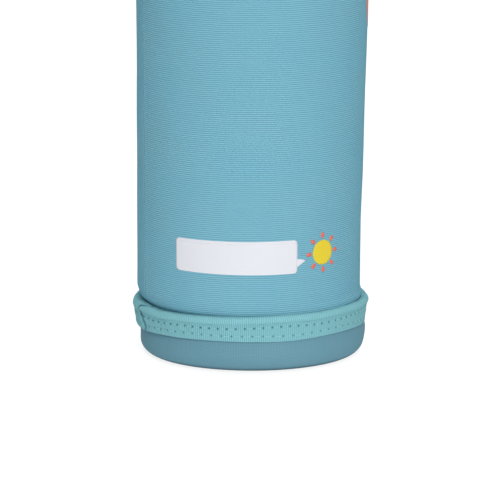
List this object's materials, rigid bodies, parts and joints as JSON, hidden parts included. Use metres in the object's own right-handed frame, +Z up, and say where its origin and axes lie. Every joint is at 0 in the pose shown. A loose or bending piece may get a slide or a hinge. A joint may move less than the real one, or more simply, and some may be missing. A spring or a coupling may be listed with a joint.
{
  "type": "water bottle",
  "caption": "Insulated kids' drinking bottle with a screw-on cap, push-button flip lid and drinking spout, standing in a padded fabric pouch with strap rings.",
  "frame": {"origin": "centre of the pouch's flat foot", "axes": "+Z up along the bottle's axis, front with the button and name panel towards -Y, strap rings on +X and -X"},
  "size_m": [0.099, 0.0872, 0.241],
  "materials": {
    "cup_fabric": "fine woven facing on a moulded cup",
    "pad_foam": "closed-cell foam",
    "binding_tape": "ribbed binding tape",
    "sleeve_fabric": "ribbed polyester, matt",
    "foam": "insulating foam",
    "lining": "thin coated lining",
    "webbing": "woven webbing",
    "steel_ring": "bright wire",
    "steel_painted": "powder coat",
    "steel_brushed": "brushed",
    "silicone": "soft, matt",
    "cap_plastic": "satin moulded",
    "lid_plastic": "satin moulded",
    "button_plastic": "satin moulded",
    "spring_steel": "drawn wire"
  },
  "bodies": {
    "pouch": {"pouch_base_cup": "cup_fabric", "base_pad": "pad_foam", "base_binding": "binding_tape", "pouch_sleeve": "sleeve_fabric", "pouch_foam": "foam", "pouch_lining": "lining", "seam_tape": "binding_tape", "top_binding": "binding_tape", "strap_tab_right": "webbing", "strap_tab_left": "webbing"},
    "strap_ring_right": {"d_ring_right": "steel_ring"},
    "strap_ring_left": {"d_ring_left": "steel_ring"},
    "bottle": {"outer_shell": "steel_painted", "inner_vessel": "steel_brushed", "base_plate": "steel_brushed"},
    "cap_seal": {"cap_gasket": "silicone"},
    "cap": {"cap_body": "cap_plastic", "mouthpiece": "cap_plastic", "mouthpiece_gasket": "silicone", "hinge_pin": "steel_brushed", "lid_spring": "spring_steel", "button_spring": "spring_steel"},
    "lid": {"lid_shell": "lid_plastic", "lid_liner": "cap_plastic", "lid_seal": "silicone"},
    "button": {"push_button": "button_plastic"},
    "lock": {"lock_slider": "cap_plastic"}
  },
  "joints": [
    {"name": "ring_right_swing", "type": "hinge", "parent": "pouch", "child": "strap_ring_right", "pos_m": [0.0465, 0, 0.1625], "axis": [0, -1, 0], "range_deg": [0, 175]},
    {"name": "ring_left_swing", "type": "hinge", "parent": "pouch", "child": "strap_ring_left", "pos_m": [-0.0465, 0, 0.1625], "axis": [0, 1, 0], "range_deg": [0, 175]},
    {"name": "bottle_lift", "type": "slide", "parent": "pouch", "child": "bottle", "axis": [0, 0, 1], "range_m": [0, 0.175]},
    {"name": "cap_rise", "type": "slide", "parent": "bottle", "child": "cap_seal", "axis": [0, 0, 1], "range_m": [0, 0.0321]},
    {"name": "cap_turn", "type": "hinge", "parent": "cap_seal", "child": "cap", "pos_m": [0, 0, 0.2], "axis": [0, 0, 1], "range_deg": [0, 720]},
    {"name": "lid_open", "type": "hinge", "parent": "cap", "child": "lid", "pos_m": [0, 0.0365, 0.215], "axis": [-1, 0, 0], "range_deg": [0, 115], "deforming": ["lid_spring"]},
    {"name": "button_press", "type": "slide", "parent": "cap", "child": "button", "axis": [0, 1, 0], "range_m": [0, 0.0025], "stiffness_N_per_m": 500, "springref_m": -0.001, "deforming": ["button_spring"]},
    {"name": "lock_slide", "type": "slide", "parent": "cap", "child": "lock", "axis": [0, 0, -1], "range_m": [-0.003, 0]}
  ],
  "couplings": [
    {"joint": "cap_rise", "follows": "cap_turn", "m_per_rad": 0.0025465}
  ]
}
